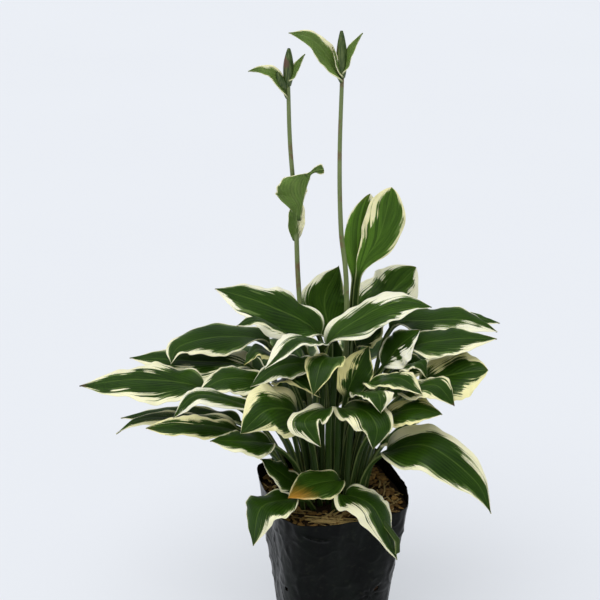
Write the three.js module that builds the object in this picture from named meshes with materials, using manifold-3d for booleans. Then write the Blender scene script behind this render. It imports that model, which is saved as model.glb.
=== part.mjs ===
// A variegated hosta with two flower stalks in a black film nursery bag.
// Units are millimetres and +Z is up. The origin is the middle of the bag's flat base, -Y is its front.
// Each leaf is one piece: a channelled stalk that widens into a pointed, arched blade.
// Every leaf and flower stalk stands in its own plain hole in the potting mix.
import * as THREE from "three";
import { mergeVertices } from "three/addons/utils/BufferGeometryUtils.js";
import Module from "manifold-3d";

const wasm = await Module();
wasm.setup();

const rad = THREE.MathUtils.degToRad;
const { lerp, smoothstep } = THREE.MathUtils;
const vec = (x, y, z) => new THREE.Vector3(x, y, z);
const UP = vec(0, 0, 1);

// Driving dimensions: the bag and what fills it
const BAG_TURN = 17; // degrees that the squarish bag is turned
const BAG_BASE_HALF = 58; // from the middle of the base to its side
const BAG_RIM_HALF = 79;
const BAG_BASE_POWER = 2.6; // 2 is round, 4 is a square with round corners
const BAG_RIM_POWER = 4.2;
const BAG_WALL = 1.4;
const BAG_FLOOR = 1.6;
const RIM_HEIGHT = 182;
const RIM_LEAN = 0.12; // the rim stands higher behind and lower in front by this share of Y
const MIX_HEIGHT = 170;
const MIX_LEAN = 0.05;
const DRAIN_HOLE = 3; // radius of the drain holes punched low in the film
const DRAIN_ROWS = [38, 76];
const DRAINS_A_ROW = 4;
const DRAIN_SIDES = 6;
const CUT_REACH = 30; // how far a cutting shape runs past what it cuts
const MOUTH_SHIFT = 2; // the bag's mouth leans this far to the right
const MIX_LUMPS = 0.8; // half the height of the lumps
const MIX_EDGE = 1.2; // from the mix's top edge to the film
const MULCH_INNER = 56; // the mulch lies from here out to the film
const MULCH_SHARE = 0.93; // how far up the bag it lies
const MULCH_THICK = 1.6;
const STRAWS = 12;
const STRAW_SEED = 7;
const STRAW_LENGTHS = [12, 34];
const GAP = 0.3; // air between neighbouring pieces

// Driving dimensions: leaf stalks and blades
const HOLE_DEPTH = 14; // how far each stalk stands in the mix
const HOLE_RADIUS = 4.8;
const HOLE_SIDES = 5;
const STALK_HALF = 2.8; // half the width of a leaf stalk
const STALK_THICK = 2.8;
const STALK_FOLD = 40; // degrees that the sides of a stalk's channel are raised
const STALK_SWING = [0.36, 0.6]; // where a stalk is at its middle: share of the way out, and up
const STALK_STOPS = [0, 0.95]; // cross-sections of a stalk: 0 at the mix, 1 at its middle
const BLADE_THICK = 1;
const BLADE_BASE = 0.62; // a higher value makes the blade's base more wedge-shaped
const BLADE_POINT = 1.08; // and its tip more drawn-out
const BLADE_FOLD = 14; // degrees that both halves of the blade are raised
const BLADE_CURL = 22; // degrees that its margins bend down again
const BLADE_WAVE = [0.07, 2.5]; // how far the margins ripple, as a share of the half width, and how often
const BLADE_STEPS = 3; // cross-sections for each stretch between two rib points
const CROWN_RADII = [45, 8]; // the lowest leaves rise from the crown's edge, the highest within
const CROWN_HEIGHTS = [200, 390];
const STALK_SPACING = 10.6;

// Each leaf's midrib from the neck, where the blade begins, to the tip.
// base, point, fold and curl stand for BLADE_BASE, BLADE_POINT, BLADE_FOLD and BLADE_CURL.
// roll turns the blade about its midrib: a positive roll raises its right side, seen from the crown.
// facing is the way that the blade leans, in degrees from +X, for one that stands upright.
// root is where the stalk leaves the mix, where the rule for the crown would cross two stalks.
const LEAVES = {
  left_leaf_1: { rib: [[-143, -20, 308], [-210, -26, 322], [-280, -22, 313]], width: 72, roll: 14 },
  left_leaf_2: { rib: [[-92, 24, 314], [-161, 34, 320], [-229, 34, 324]], width: 64, roll: 16 },
  left_leaf_3: {
    rib: [[-72, 34, 338], [-122, 40, 347], [-170, 22, 343], [-180, 0, 330]],
    width: 60, roll: 14, point: 1.25,
  },
  left_leaf_4: { rib: [[-82, -60, 299], [-143, -92, 332], [-172, -94, 306]], width: 36, roll: 10 },
  left_leaf_5: { rib: [[-105, 26, 246], [-176, 38, 254], [-242, 38, 248]], width: 48, roll: 6 },
  left_leaf_6: {
    rib: [[-108, -16, 259], [-169, -24, 275], [-214, -26, 274], [-241, -26, 257]],
    width: 42, roll: 4, point: 1.5,
  },
  left_leaf_7: {
    rib: [[-106, -54, 272], [-155, -72, 289], [-203, -76, 286]],
    width: 44, roll: 10, point: 0.85,
  },
  left_leaf_8: { rib: [[-69, -69, 263], [-100, -95, 279], [-132, -105, 284]], width: 50, roll: 12 },
  left_leaf_9: { rib: [[-74, -26, 315], [-115, -40, 329], [-147, -52, 318]], width: 50, roll: 16 },
  left_leaf_10: { rib: [[-59, 2, 328], [-83, 0, 348], [-98, -8, 332]], width: 42 },
  left_leaf_11: { rib: [[-38, -54, 206], [-58, -64, 227], [-79, -68, 246]], width: 46, roll: 24 },
  left_leaf_12: {
    rib: [[-21, -44, 341], [-57, -52, 349], [-90, -64, 329]],
    width: 46, roll: 10, root: [-16, -14],
  },
  top_leaf_1: { rib: [[-16, 12, 359], [-70, 8, 396], [-130, 12, 415]], width: 79, roll: 22, point: 1.02 },
  top_leaf_2: { rib: [[-31, -27, 356], [-77, -56, 403], [-104, -64, 400]], width: 32 },
  top_leaf_3: { rib: [[-2, 54, 340], [-8, 66, 384], [8, 64, 424]], width: 58, facing: 90 },
  top_leaf_4: {
    rib: [[29, 42, 416], [53, 46, 467], [65, 48, 521]],
    width: 46, facing: 80, base: 1.15, point: 0.72, root: [24, 18],
  },
  top_leaf_5: {
    rib: [[32, 66, 366], [68, 75, 389], [96, 77, 418]],
    width: 66, facing: 74, base: 0.5, point: 0.8, root: [2, 24],
  },
  top_leaf_6: {
    rib: [[-4, -8, 354], [36, -3, 389], [77, 4, 403], [110, 10, 394]],
    width: 58, roll: -16, root: [2, -6],
  },
  top_leaf_7: { rib: [[-13, -46, 365], [-42, -84, 393], [-73, -108, 368]], width: 40, root: [-9, -18] },
  top_leaf_8: { rib: [[0, -50, 352], [-13, -86, 366], [-22, -110, 339]], width: 42 },
  top_leaf_9: {
    rib: [[25, 52, 410], [30, 58, 457], [42, 60, 510]],
    width: 36, facing: 95, base: 0.9, point: 0.72, root: [14, 35],
  },
  right_leaf_1: {
    rib: [[67, 30, 360], [113, 36, 368], [153, 36, 368], [186, 30, 357]],
    width: 58, roll: -18, root: [29, 6],
  },
  right_leaf_2: {
    rib: [[107, 70, 348], [160, 79, 355], [194, 79, 349]],
    width: 38, roll: -6, root: [34, 14],
  },
  right_leaf_3: {
    rib: [[84, -5, 347], [131, -12, 364], [181, -12, 365]],
    width: 53, roll: -16, root: [18, 0],
  },
  right_leaf_4: {
    rib: [[98, -24, 314], [138, -30, 331], [170, -35, 337]],
    width: 72, roll: -28, point: 0.85,
  },
  right_leaf_5: { rib: [[75, -58, 316], [108, -80, 338], [129, -94, 320]], width: 48, roll: -12 },
  right_leaf_6: { rib: [[39, -46, 321], [69, -76, 345], [94, -99, 335]], width: 43, roll: -8 },
  right_leaf_7: { rib: [[27, -54, 311], [46, -104, 339], [49, -122, 324]], width: 40, root: [16, -32] },
  right_leaf_8: {
    rib: [[16, -20, 300], [27, -17, 330], [40, -12, 356]],
    width: 42, facing: 70, root: [12, -12],
  },
  right_leaf_9: { rib: [[30, 14, 344], [45, 14, 364], [60, 14, 382]], width: 40, roll: -20, root: [4, 17] },
  right_leaf_10: {
    rib: [[58, -9, 331], [74, -13, 357], [96, -16, 377]],
    width: 46, facing: 20, roll: -20, root: [8, 1],
  },
  right_leaf_11: { rib: [[76, -33, 331], [95, -43, 349], [102, -48, 333]], width: 30 },
  right_leaf_12: { rib: [[58, -74, 296], [87, -88, 314], [116, -96, 311]], width: 50, roll: -16 },
  right_leaf_13: {
    rib: [[60, -60, 249], [102, -88, 270], [152, -104, 237], [171, -110, 200]],
    width: 66, roll: -26, base: 0.55, point: 1.35,
  },
  right_leaf_14: { rib: [[56, -26, 241], [73, -26, 260], [96, -26, 271]], width: 30 },
  front_leaf_1: {
    rib: [[-40, -62, 296], [-70, -107, 321], [-99, -122, 300]],
    width: 66, roll: 45, base: 0.42,
  },
  front_leaf_2: { rib: [[-8, -80, 308], [-31, -122, 314], [-14, -138, 292]], width: 40, facing: 245 },
  front_leaf_3: {
    rib: [[9, -58, 297], [32, -100, 317], [45, -120, 306], [41, -126, 284]],
    width: 50, roll: -10,
  },
  front_leaf_4: { rib: [[-58, -28, 315], [-37, -51, 336], [-14, -67, 318]], width: 38 },
  bag_leaf_1: { rib: [[-46, -74, 199], [-78, -102, 203], [-87, -110, 161]], width: 60 },
  bag_leaf_2: { rib: [[7, -58, 214], [-23, -82, 221], [-49, -100, 214]], width: 44, roll: 24 },
  bag_leaf_3: { rib: [[15, -73, 203], [44, -100, 202], [70, -112, 145]], width: 60 },
  inner_leaf_1: {
    rib: [[-31, 38, 268], [-52, 42, 280], [-72, 44, 275]],
    width: 40, roll: 30, root: [-27, 30],
  },
  inner_leaf_2: { rib: [[-4, 52, 254], [0, 58, 296], [4, 62, 340]], width: 48, facing: 100 },
  inner_leaf_3: {
    rib: [[19, 42, 264], [50, 49, 280], [90, 56, 270]],
    width: 46, roll: -30, root: [24, 31],
  },
  inner_leaf_4: { rib: [[62, 30, 303], [89, 34, 316], [114, 38, 310]], width: 44, roll: -28 },
  inner_leaf_5: { rib: [[-75, 58, 282], [-101, 67, 298], [-133, 72, 292]], width: 48, roll: 25 },
  back_leaf_1: { rib: [[-73, 82, 284], [-113, 130, 295], [-153, 174, 269]], width: 60, root: [-24, 42] },
  back_leaf_2: { rib: [[-30, 94, 288], [-52, 154, 300], [-58, 208, 270]], width: 62 },
  back_leaf_3: { rib: [[34, 88, 290], [40, 152, 304], [50, 212, 280]], width: 62 },
  back_leaf_4: { rib: [[69, 84, 286], [109, 130, 294], [145, 170, 266]], width: 60, root: [31, 34] },
  back_leaf_5: { rib: [[-104, 62, 268], [-160, 94, 274], [-208, 122, 246]], width: 58 },
  back_leaf_6: { rib: [[86, 62, 262], [122, 92, 270], [152, 122, 252]], width: 50 },
  back_leaf_7: { rib: [[-24, 82, 226], [-42, 128, 228], [-60, 168, 192]], width: 54 },
  back_leaf_8: { rib: [[28, 82, 228], [48, 128, 228], [64, 172, 192]], width: 54 },
};

// Each flower stalk: its centre line, and the leafy bracts and buds of its head.
// A bract has a rib like a leaf's, and a bud is a blunt spindle from one point to another.
// The first three bracts of flower_stalk_1 are one leafy bract: its clasping base, blade and curled tip.
const SCAPE_RADII = [3.6, 2.2];
const SCAPES = {
  flower_stalk_1: {
    line: [[-15, 25, 170], [-36, 49, 380], [-41, 51, 490], [-47, 53, 570], [-49, 54, 640]],
    bracts: [
      {
        rib: [[-41, 52, 458], [-40, 45, 482], [-38, 42, 508]],
        width: 19, facing: 270, base: 0.6, point: 0.5,
      },
      {
        rib: [[-37, 45, 484], [-34, 42, 504], [-31, 40, 520], [-24, 38, 541]],
        width: 66, facing: 270, fold: 45, curl: 0, roll: -42, base: 1.6, point: 1.2,
      },
      {
        rib: [[-29, 39, 536], [-20, 37, 543], [-10, 36, 545]],
        width: 13, facing: 0, roll: 80, base: 2, point: 0.3,
      },
      {
        rib: [[-50, 54, 621], [-62, 50, 646], [-76, 47, 653], [-92, 45, 652]],
        width: 15, facing: 180, roll: 50, fold: 25,
      },
      { rib: [[-47, 53, 640], [-40, 50, 655], [-31, 48, 670]], width: 11, facing: 0, roll: -45, fold: 25 },
    ],
    buds: [
      { from: [-49, 54, 632], to: [-48, 53, 675], radius: 5.8 },
      { from: [-52, 52, 630], to: [-61, 48, 650], radius: 4.2 },
    ],
  },
  flower_stalk_2: {
    line: [[14, 22, 170], [16, 27, 396], [9, 29, 479], [7, 29, 560], [9, 30, 652]],
    bracts: [
      {
        rib: [[8, 30, 644], [-7, 26, 672], [-25, 22, 692], [-48, 20, 699]],
        width: 27, facing: 190, roll: 50, fold: 25,
      },
      { rib: [[8, 29, 650], [3, 24, 668], [-1, 22, 683]], width: 9, facing: 190, roll: 40, fold: 25 },
      { rib: [[10, 29, 653], [17, 26, 677], [30, 24, 698]], width: 12, facing: 0, roll: -45, fold: 25 },
    ],
    buds: [{ from: [9, 30, 646], to: [8, 29, 699], radius: 5.8 }],
  },
};

// A closed body from its points and the corner numbers of its faces, wound outwards.
function body(points, faces) {
  const geometry = new THREE.BufferGeometry().setFromPoints(points);
  geometry.setIndex(faces);
  return geometry;
}

// A skin through rings of as many points each: a tube with its two ends closed by fans,
// or, where `around` is true, a hoop whose last ring meets its first.
function loft(rings, around = false) {
  const sides = rings[0].length;
  const count = rings.length;
  const faces = [];
  for (let ring = 0; ring < (around ? count : count - 1); ring++) {
    const above = ((ring + 1) % count) * sides;
    for (let side = 0; side < sides; side++) {
      const next = (side + 1) % sides;
      const [a, b, c, d] = [ring * sides + side, ring * sides + next, above + next, above + side];
      faces.push(a, b, c, a, c, d);
    }
  }
  if (!around) {
    const last = (count - 1) * sides;
    for (let side = 1; side < sides - 1; side++) {
      faces.push(0, side + 1, side, last, last + side, last + side + 1);
    }
  }
  return body(rings.flat(), faces);
}

// A thin sheet between two nets of points, split into triangles alike on both faces.
function sheet(top, bottom) {
  const rows = top.length;
  const columns = top[0].length;
  const at = (net, row, column) => (net * rows + row) * columns + column;
  const faces = [];
  const quad = (a, b, c, d) => faces.push(a, b, c, a, c, d);
  for (let row = 0; row < rows - 1; row++) {
    for (let column = 0; column < columns - 1; column++) {
      const corners = [[row, column], [row, column + 1], [row + 1, column + 1], [row + 1, column]];
      const shift = column < (columns - 1) / 2 ? 1 : 0;
      const turned = corners.map((_, index) => corners[(index + shift) % 4]);
      const [a, b, c, d] = turned.map(([r, k]) => at(0, r, k));
      const [e, f, g, h] = turned.map(([r, k]) => at(1, r, k));
      faces.push(a, b, c, a, c, d, e, g, f, e, h, g);
    }
    const right = columns - 1;
    quad(at(1, row, 0), at(0, row, 0), at(0, row + 1, 0), at(1, row + 1, 0));
    quad(at(1, row, right), at(1, row + 1, right), at(0, row + 1, right), at(0, row, right));
  }
  for (let column = 0; column < columns - 1; column++) {
    const end = rows - 1;
    quad(at(1, 0, column), at(1, 0, column + 1), at(0, 0, column + 1), at(0, 0, column));
    quad(at(1, end, column), at(0, end, column), at(0, end, column + 1), at(1, end, column + 1));
  }
  return body([...top.flat(), ...bottom.flat()], faces);
}

// Joining and cutting
function asSolid(geometry) {
  const plain = geometry.clone();
  plain.deleteAttribute("normal");
  plain.deleteAttribute("uv");
  const merged = mergeVertices(plain);
  const vertProperties = new Float32Array(merged.getAttribute("position").array);
  const triVerts = new Uint32Array(merged.getIndex().array);
  return new wasm.Manifold(new wasm.Mesh({ numProp: 3, vertProperties, triVerts }));
}

function asGeometry(solid) {
  const { vertProperties, triVerts } = solid.getMesh();
  const geometry = new THREE.BufferGeometry();
  geometry.setAttribute("position", new THREE.BufferAttribute(new Float32Array(vertProperties), 3));
  geometry.setIndex(new THREE.BufferAttribute(new Uint32Array(triVerts), 1));
  return geometry;
}

// An upright prism, for the plain holes in the potting mix.
function post(x, y, low, high) {
  const ring = (z) => Array.from({ length: HOLE_SIDES }, (_, side) => {
    const angle = (side / HOLE_SIDES) * 2 * Math.PI;
    return vec(x + HOLE_RADIUS * Math.cos(angle), y + HOLE_RADIUS * Math.sin(angle), z);
  });
  return asSolid(loft([ring(low), ring(high)]));
}

// The bag: its plan goes from nearly round at the base to a square with round corners at the rim
const BAG_SIDES = 24;
const BAG_LEVELS = 5;
const SHARES = Array.from({ length: BAG_LEVELS + 1 }, (_, level) => level / BAG_LEVELS);

function bagRing(share, inset, height) {
  const half = lerp(BAG_BASE_HALF, BAG_RIM_HALF, share) - inset;
  const power = lerp(BAG_BASE_POWER, BAG_RIM_POWER, share);
  return Array.from({ length: BAG_SIDES }, (_, side) => {
    const angle = (side / BAG_SIDES) * 2 * Math.PI;
    const square = (Math.abs(Math.cos(angle)) ** power + Math.abs(Math.sin(angle)) ** power) ** (-1 / power);
    const crumple = 0.012 * share * Math.sin(7 * angle + 2) + 0.008 * Math.sin(5 * angle - 9 * share);
    const radius = half * square * (1 + crumple);
    const turned = angle + rad(BAG_TURN);
    const [x, y] = [radius * Math.cos(turned) + MOUTH_SHIFT * share, radius * Math.sin(turned)];
    return vec(x, y, height + RIM_LEAN * y * share ** 3);
  });
}

function bagSkin(inset, floor, above) {
  const rings = SHARES.map((share) => bagRing(share, inset, lerp(floor, RIM_HEIGHT, share)));
  if (above) {
    rings.push(bagRing(1, inset, RIM_HEIGHT + above));
  }
  return asSolid(loft(rings));
}

function makeBag() {
  let bag = bagSkin(0, 0, 0).subtract(bagSkin(BAG_WALL, BAG_FLOOR, HOLE_DEPTH));
  for (const [row, height] of DRAIN_ROWS.entries()) {
    for (let hole = 0; hole < DRAINS_A_ROW; hole++) {
      const drain = new THREE.CylinderGeometry(DRAIN_HOLE, DRAIN_HOLE, CUT_REACH, DRAIN_SIDES);
      drain.rotateZ(Math.PI / 2);
      drain.translate(BAG_BASE_HALF + 4, 0, height);
      drain.rotateZ(((hole + row / 2) / DRAINS_A_ROW) * 2 * Math.PI);
      bag = bag.subtract(asSolid(drain));
    }
  }
  return asGeometry(bag);
}

// The potting mix: it fills the bag, firmed level about the crown and uneven towards the film,
// and holds every stalk in a hole
function mixTop(x, y) {
  const lumps = Math.sin(x / 9 + 1) * Math.cos(y / 11) + 0.6 * Math.sin(x / 17 - y / 13);
  const outside = smoothstep(Math.hypot(x, y), MULCH_INNER - 2, MULCH_INNER + 8);
  return MIX_HEIGHT + (MIX_LEAN * y + MIX_LUMPS * lumps) * outside;
}

// A point above the mix on the way from the crown to the film: 0 at the mulch's inner edge, 1 at `edge`
function onMix(edge, outwards, lift) {
  const reach = Math.hypot(edge.x, edge.y);
  const radius = lerp(MULCH_INNER, reach, outwards);
  const [x, y] = [(edge.x / reach) * radius, (edge.y / reach) * radius];
  return vec(x, y, mixTop(x, y) + lift);
}

// Where the mix's top has rings of points: 1 at the film, 0 at the mulch's inner edge
const TOP_RINGS = [1, 0.5, 0, -0.15];

function makeMix(roots) {
  const inset = BAG_WALL + GAP;
  const topInset = BAG_WALL + MIX_EDGE;
  const full = (MIX_HEIGHT - BAG_FLOOR) / (RIM_HEIGHT - BAG_FLOOR);
  const covered = SHARES.filter((share) => share < full);
  const rings = covered.map((share) => bagRing(share, inset, lerp(BAG_FLOOR + GAP, RIM_HEIGHT, share)));
  for (const outwards of TOP_RINGS) {
    rings.push(bagRing(full, topInset, 0).map((edge) => onMix(edge, outwards, 0)));
  }
  let mix = asSolid(loft(rings));
  for (const { x, y } of roots) {
    mix = mix.subtract(post(x, y, mixTop(x, y) - HOLE_DEPTH - 1, RIM_HEIGHT));
  }
  return asGeometry(mix);
}

// The mulch: a mat of bark crumbs and straw round the crown, its bigger bits fused where they cross
function makeMulch() {
  const [bottom, top] = [GAP + 0.1, GAP + MULCH_THICK];
  const inset = BAG_WALL + MIX_EDGE + GAP;
  const edges = bagRing(MULCH_SHARE, inset, 0);
  let mulch = asSolid(loft(edges.map((edge) => [
    onMix(edge, 0, bottom), onMix(edge, 0, top), onMix(edge, 0.5, top + 0.5),
    onMix(edge, 1, top), onMix(edge, 1, bottom), onMix(edge, 0.5, bottom),
  ]), true));
  const random = seeded(STRAW_SEED);
  for (let straw = 0; straw < STRAWS; straw++) {
    const angle = ((straw + random()) / STRAWS) * 2 * Math.PI;
    const radius = lerp(MULCH_INNER + 4, BAG_RIM_HALF - 6, random());
    const length = lerp(...STRAW_LENGTHS, random() ** 2);
    const [x, y] = [radius * Math.cos(angle), radius * Math.sin(angle)];
    const stick = new THREE.BoxGeometry(length, lerp(1.6, 3, random()), 2);
    stick.rotateY(rad(lerp(-4, 4, random())));
    stick.rotateZ(angle + Math.PI / 2 + rad(lerp(-40, 40, random())));
    stick.translate(x, y, mixTop(x, y) + top + 0.4);
    mulch = mulch.add(asSolid(stick));
  }
  const heights = [MIX_HEIGHT - CUT_REACH, RIM_HEIGHT + CUT_REACH];
  const under = [edges.map(({ x, y }) => vec(x, y, heights[0]))];
  for (const outwards of TOP_RINGS) {
    under.push(edges.map((edge) => onMix(edge, outwards, bottom)));
  }
  const reach = asSolid(loft(heights.map((height) => bagRing(MULCH_SHARE, inset + 0.1, height))));
  const middle = new THREE.CylinderGeometry(MULCH_INNER + 0.5, MULCH_INNER + 0.5, 2 * CUT_REACH, BAG_SIDES);
  middle.rotateX(Math.PI / 2);
  middle.translate(0, 0, MIX_HEIGHT);
  return asGeometry(mulch.intersect(reach).subtract(asSolid(loft(under))).subtract(asSolid(middle)));
}

// Even random numbers from 0 to 1, the same on each run
function seeded(seed) {
  let state = seed;
  return () => {
    state = (state * 16807) % 2147483647;
    return state / 2147483647;
  };
}

// The crown: stalks of the lowest leaves stand round the edge, those of the highest in the middle,
// and crowded neighbours are pushed apart until each has its own hole
function placeRoots() {
  const roots = [];
  for (const [name, { rib, root }] of Object.entries(LEAVES)) {
    const [x, y, z] = rib[0];
    const high = smoothstep(z, ...CROWN_HEIGHTS);
    const radius = lerp(...CROWN_RADII, high);
    const away = Math.hypot(x, y);
    const [startX, startY] = root ?? [(x / away) * radius, (y / away) * radius];
    roots.push({ name, x: startX, y: startY, fixed: false });
  }
  for (const [name, { line }] of Object.entries(SCAPES)) {
    roots.push({ name, x: line[0][0], y: line[0][1], fixed: true });
  }
  for (let round = 0; round < 200; round++) {
    for (const one of roots) {
      for (const other of roots) {
        const [dx, dy] = [one.x - other.x, one.y - other.y];
        const apart = Math.hypot(dx, dy);
        if (one === other || one.fixed || apart >= STALK_SPACING) continue;
        one.x += (dx / apart) * (STALK_SPACING - apart) * 0.5;
        one.y += (dy / apart) * (STALK_SPACING - apart) * 0.5;
      }
    }
  }
  return roots;
}

// How wide a blade is along its length, as a share of its widest place
function bladeShare(along, base = BLADE_BASE, point = BLADE_POINT) {
  const widest = base / (base + point);
  const full = widest ** base * (1 - widest) ** point;
  return (along ** base * (1 - along) ** point) / full;
}

const ACROSS = [-1, -0.5, 0, 0.5, 1]; // the places across a leaf where it has points
const BRACT_ACROSS = [-1, 0, 1];

// One cross-section: the top and bottom points of a leaf at a place along its midrib.
// along is 0 at the neck and 1 at the tip, and below 0 on the stalk.
function section(place, heading, facing, along, leaf, places = ACROSS) {
  const { width, fold = BLADE_FOLD, curl = BLADE_CURL, roll = 0 } = leaf;
  const level = vec(Math.cos(facing), Math.sin(facing), 0).cross(UP);
  const tilt = rad(roll) * smoothstep(along, -0.3, 0.3);
  const normal = level.clone().cross(heading).normalize();
  const side = heading.clone().cross(normal).normalize();
  const right = side.clone().multiplyScalar(Math.cos(tilt)).addScaledVector(normal, Math.sin(tilt));
  const above = normal.clone().multiplyScalar(Math.cos(tilt)).addScaledVector(side, -Math.sin(tilt));
  const blade = smoothstep(along, 0, 0.22);
  const spread = along > 0 ? (width / 2) * bladeShare(Math.min(along, 0.995), leaf.base, leaf.point) : 0;
  const half = Math.hypot(spread, STALK_HALF * (1 - smoothstep(along, 0, 0.5)) + 0.4 * blade);
  const thick = lerp(STALK_THICK, BLADE_THICK, blade);
  const raise = rad(lerp(STALK_FOLD, fold, blade));
  const bend = rad(curl) * blade;
  const top = [];
  const bottom = [];
  for (const across of places) {
    const u = Math.abs(across);
    const angle = raise - bend * u;
    const turns = BLADE_WAVE[1] * along;
    const ripple = BLADE_WAVE[0] * blade * u * u * Math.sin(2 * Math.PI * turns + across * 1.5);
    const out = half * across * Math.cos(angle);
    const lift = half * (u * Math.sin(angle) + ripple) + thick * 0.4;
    const point = place.clone().addScaledVector(right, out).addScaledVector(above, lift);
    top.push(point);
    bottom.push(point.clone().addScaledVector(above, -thick));
  }
  return { top, bottom };
}

const facingOf = ({ rib, facing }) => {
  const tip = rib.at(-1);
  return facing === undefined ? Math.atan2(tip[1] - rib[0][1], tip[0] - rib[0][0]) : rad(facing);
};

// A leaf: its stalk swings up and out of its hole to the neck, and the blade arches on to its tip
function makeLeaf(leaf, root) {
  const neck = vec(...leaf.rib[0]);
  const soil = vec(root.x, root.y, mixTop(root.x, root.y));
  const [out, up] = STALK_SWING;
  const middle = vec(lerp(soil.x, neck.x, out), lerp(soil.y, neck.y, out), lerp(soil.z, neck.z, up));
  const points = [soil, middle, ...leaf.rib.map((p) => vec(...p))];
  const curve = new THREE.CatmullRomCurve3(points, false, "catmullrom", 0.5);
  const stretches = points.length - 1;
  const stops = STALK_STOPS.slice();
  const steps = BLADE_STEPS * (stretches - 2) + 1;
  for (let step = 0; step <= steps; step++) {
    stops.push(2 + (step / steps) * (stretches - 2));
  }
  const facing = facingOf(leaf);
  const rows = stops.map((stop) => {
    const t = stop / stretches;
    return section(curve.getPoint(t), curve.getTangent(t), facing, (stop - 2) / (stretches - 2), leaf);
  });
  const sunk = (p) => p.clone().add(vec(0, 0, -HOLE_DEPTH));
  const top = [rows[0].top.map(sunk), ...rows.map((row) => row.top)];
  const bottom = [rows[0].bottom.map(sunk), ...rows.map((row) => row.bottom)];
  return sheet(top, bottom);
}

// A flower stalk: a round stem with leafy bracts and buds fused to it
const STEM_SIDES = 6;
const STEM_STEPS = 8;
const BUD_OUTLINE = [[0, 0.4], [0.2, 0.75], [0.45, 1], [0.75, 0.85], [1, 0.3]];

// Rings of a round rod about a curve, from [share of the length, radius] pairs
function rod(curve, outline) {
  const across = vec(0, 1, 0);
  return loft(outline.map(([share, radius]) => {
    const place = curve.getPoint(share);
    const side = across.clone().cross(curve.getTangent(share)).normalize();
    const front = curve.getTangent(share).cross(side).normalize();
    return Array.from({ length: STEM_SIDES }, (_, step) => {
      const angle = (step / STEM_SIDES) * 2 * Math.PI;
      const out = side.clone().multiplyScalar(radius * Math.cos(angle));
      return place.clone().add(out).addScaledVector(front, radius * Math.sin(angle));
    });
  }));
}

function makeBract(bract) {
  const curve = new THREE.CatmullRomCurve3(bract.rib.map((p) => vec(...p)), false, "catmullrom", 0.5);
  const steps = BLADE_STEPS * (bract.rib.length - 1);
  const rows = [];
  for (let step = 0; step <= steps; step++) {
    const share = step / steps;
    const [place, heading] = [curve.getPoint(share), curve.getTangent(share)];
    rows.push(section(place, heading, facingOf(bract), share, bract, BRACT_ACROSS));
  }
  return sheet(rows.map((row) => row.top), rows.map((row) => row.bottom));
}

function makeFlowerStalk({ line, bracts, buds }) {
  const [start, ...rest] = line.map((p) => vec(...p));
  start.z = mixTop(start.x, start.y) - HOLE_DEPTH;
  const lip = vec(start.x, start.y, mixTop(start.x, start.y) + 2);
  const stem = new THREE.CatmullRomCurve3([start, lip, ...rest], false, "catmullrom", 0.5);
  const outline = [[0, SCAPE_RADII[0]]];
  const lipShare = 1 / (rest.length + 1);
  for (let step = 0; step <= STEM_STEPS; step++) {
    const share = lerp(lipShare, 1, step / STEM_STEPS);
    outline.push([share, lerp(...SCAPE_RADII, share)]);
  }
  let stalk = asSolid(rod(stem, outline));
  for (const bract of bracts) {
    stalk = stalk.add(asSolid(makeBract(bract)));
  }
  for (const { from, to, radius } of buds) {
    const axis = new THREE.LineCurve3(vec(...from), vec(...to));
    stalk = stalk.add(asSolid(rod(axis, BUD_OUTLINE.map(([share, size]) => [share, size * radius]))));
  }
  return asGeometry(stalk);
}

const group = new THREE.Group();

function add(name, geometry, color, roughness) {
  const material = new THREE.MeshStandardMaterial({ color, roughness, metalness: 0 });
  const mesh = new THREE.Mesh(geometry, material);
  mesh.name = name;
  group.add(mesh);
}

const crown = placeRoots();
add("bag", makeBag(), 0x1b1e1d, 0.35);
add("potting_mix", makeMix(crown), 0x4a3522, 0.95);
add("mulch", makeMulch(), 0x9a6b3c, 0.9);
for (const [name, leaf] of Object.entries(LEAVES)) {
  add(name, makeLeaf(leaf, crown.find((root) => root.name === name)), 0x3a6a2e, 0.45);
}
for (const [name, stalk] of Object.entries(SCAPES)) {
  add(name, makeFlowerStalk(stalk), 0x6f8450, 0.5);
}

export default group;
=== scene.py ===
# A cream-edged hosta with two flower stalks, put together from its nursery bag upwards.
# Metres, +Z up: the origin is the middle of the bag's base, -Y is the plant's front and +X its right.
import math
import random

import bpy
from mathutils import Matrix, Vector, noise


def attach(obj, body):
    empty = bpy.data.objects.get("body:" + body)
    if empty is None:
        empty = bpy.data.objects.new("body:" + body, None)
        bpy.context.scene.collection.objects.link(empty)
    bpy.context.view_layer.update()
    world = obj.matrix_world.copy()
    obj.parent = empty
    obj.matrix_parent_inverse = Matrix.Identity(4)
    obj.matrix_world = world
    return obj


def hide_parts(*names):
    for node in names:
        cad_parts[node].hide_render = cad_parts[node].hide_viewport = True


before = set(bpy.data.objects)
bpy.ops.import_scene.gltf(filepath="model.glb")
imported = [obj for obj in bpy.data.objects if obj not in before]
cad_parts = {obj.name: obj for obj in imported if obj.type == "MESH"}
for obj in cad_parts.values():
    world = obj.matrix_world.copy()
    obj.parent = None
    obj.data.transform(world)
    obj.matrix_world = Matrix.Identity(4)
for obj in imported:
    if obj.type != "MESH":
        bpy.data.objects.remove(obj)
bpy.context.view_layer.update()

# ---- The nursery bag ----
# A soft bag of thin black polyethylene film. It is blown as a tube, welded across its base, punched
# with drain holes and pulled out squarish by the mix, whose lumps and its own folds crinkle the film.
BAG_TURN = math.radians(17)
BAG_HALF = (0.058, 0.079)  # at its base and at its rim
BAG_POWER = (2.6, 4.2)  # 2 is round, 4 is a square with round corners
BAG_WOBBLE = (0.012, 0.008)  # how far its sides swell in and out, as shares of its reach
RIM_HEIGHT = 0.182
RIM_LEAN = 0.12  # the rim stands higher behind by this share of Y
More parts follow.
